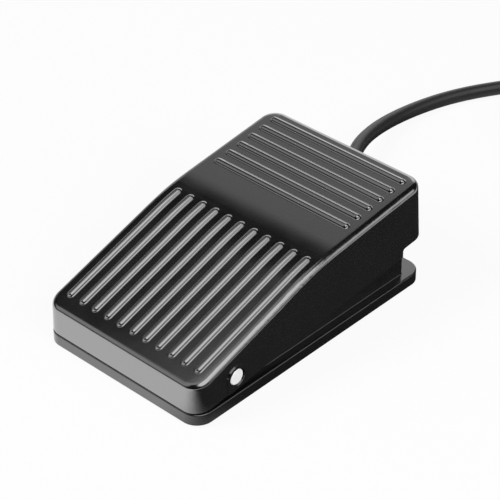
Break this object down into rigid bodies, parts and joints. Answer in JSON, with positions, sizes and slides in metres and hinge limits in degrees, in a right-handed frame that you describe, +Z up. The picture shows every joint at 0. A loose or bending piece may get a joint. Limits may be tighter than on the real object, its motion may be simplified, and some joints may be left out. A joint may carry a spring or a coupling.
{
  "type": "foot switch",
  "caption": "Industrial foot switch: ribbed pedal shell hinged over a tray, snap-action switch and return spring inside, lead leaving the back.",
  "frame": {"origin": "on the floor, under the centre of the foot switch without its lead", "axes": "+Y from the toe end to the lead end, +X to the right, +Z up"},
  "size_m": [0.0957, 0.2389, 0.0367],
  "materials": {
    "pedal_paint": "semi-gloss black enamel on die-cast aluminium",
    "base_paint": "semi-gloss black enamel on die-cast aluminium",
    "pin_steel": "ground bright steel",
    "spring_steel": "drawn spring steel, zinc plated",
    "foot_rubber": "moulded black rubber",
    "case_phenolic": "moulded black phenolic",
    "cover_phenolic": "moulded black phenolic",
    "plunger_nylon": "red nylon",
    "lever_steel": "stamped stainless strip",
    "blade_bronze": "rolled spring bronze strip",
    "contact_silver": "silver rivet",
    "terminal_brass": "stamped, tinned brass",
    "screw_zinc": "zinc plated steel",
    "clamp_zinc": "zinc plated steel strip",
    "boot_rubber": "moulded black rubber",
    "cable_sheath": "satin dark PVC sheath",
    "core_white": "white PVC",
    "core_red": "red PVC",
    "core_black": "black PVC",
    "strand_copper": "stranded copper",
    "tie_nylon": "black nylon"
  },
  "bodies": {
    "base": {"base_tray": "base_paint", "hinge_pin": "pin_steel", "return_spring": "spring_steel", "rubber_foot_front_left": "foot_rubber", "rubber_foot_front_right": "foot_rubber", "rubber_foot_rear_left": "foot_rubber", "rubber_foot_rear_right": "foot_rubber", "switch_case": "case_phenolic", "switch_cover": "cover_phenolic", "lever_pin": "pin_steel", "terminal_com": "terminal_brass", "terminal_no": "terminal_brass", "contact_no": "contact_silver", "terminal_nc": "terminal_brass", "contact_nc": "contact_silver", "switch_screws": "screw_zinc", "cable_clamp": "clamp_zinc", "clamp_screws": "screw_zinc", "cable_boot": "boot_rubber", "cable_inner": "cable_sheath", "cable_tube": "cable_sheath", "cable_coil": "cable_sheath", "cable_end": "cable_sheath", "coil_tie": "tie_nylon", "core_com": "core_white", "core_no": "core_red", "core_nc": "core_black", "far_core_com": "core_white", "far_strand_com": "strand_copper", "far_core_no": "core_red", "far_strand_no": "strand_copper", "far_core_nc": "core_black", "far_strand_nc": "strand_copper"},
    "pedal": {"pedal": "pedal_paint"},
    "lever": {"switch_lever": "lever_steel"},
    "plunger": {"switch_plunger": "plunger_nylon"},
    "blade": {"snap_blade": "blade_bronze", "moving_contact": "contact_silver"}
  },
  "joints": [
    {"name": "pedal_hinge", "type": "hinge", "parent": "base", "child": "pedal", "pos_m": [0, -0.03335, 0.0106], "axis": [-1, 0, 0], "range_deg": [0, 6.5], "stiffness_Nm_per_rad": 1.6, "springref_deg": -8.02, "deforming": ["return_spring"]},
    {"name": "lever_hinge", "type": "hinge", "parent": "base", "child": "lever", "pos_m": [0, 0.00895, 0.0209], "axis": [1, 0, 0], "range_deg": [0, 9.85]},
    {"name": "plunger_slide", "type": "slide", "parent": "base", "child": "plunger", "axis": [0, 0, -1], "range_m": [0, 0.00105]},
    {"name": "blade_hinge", "type": "hinge", "parent": "base", "child": "blade", "pos_m": [0, 0.00845, 0.0167], "axis": [1, 0, 0], "range_deg": [0, 3.43]}
  ],
  "couplings": [
    {"joint": "lever_hinge", "follows": "pedal_hinge", "ratio": 1.5138},
    {"joint": "plunger_slide", "follows": "pedal_hinge", "m_per_rad": 0.009167},
    {"joint": "blade_hinge", "follows": "pedal_hinge", "ratio": 0.526}
  ]
}
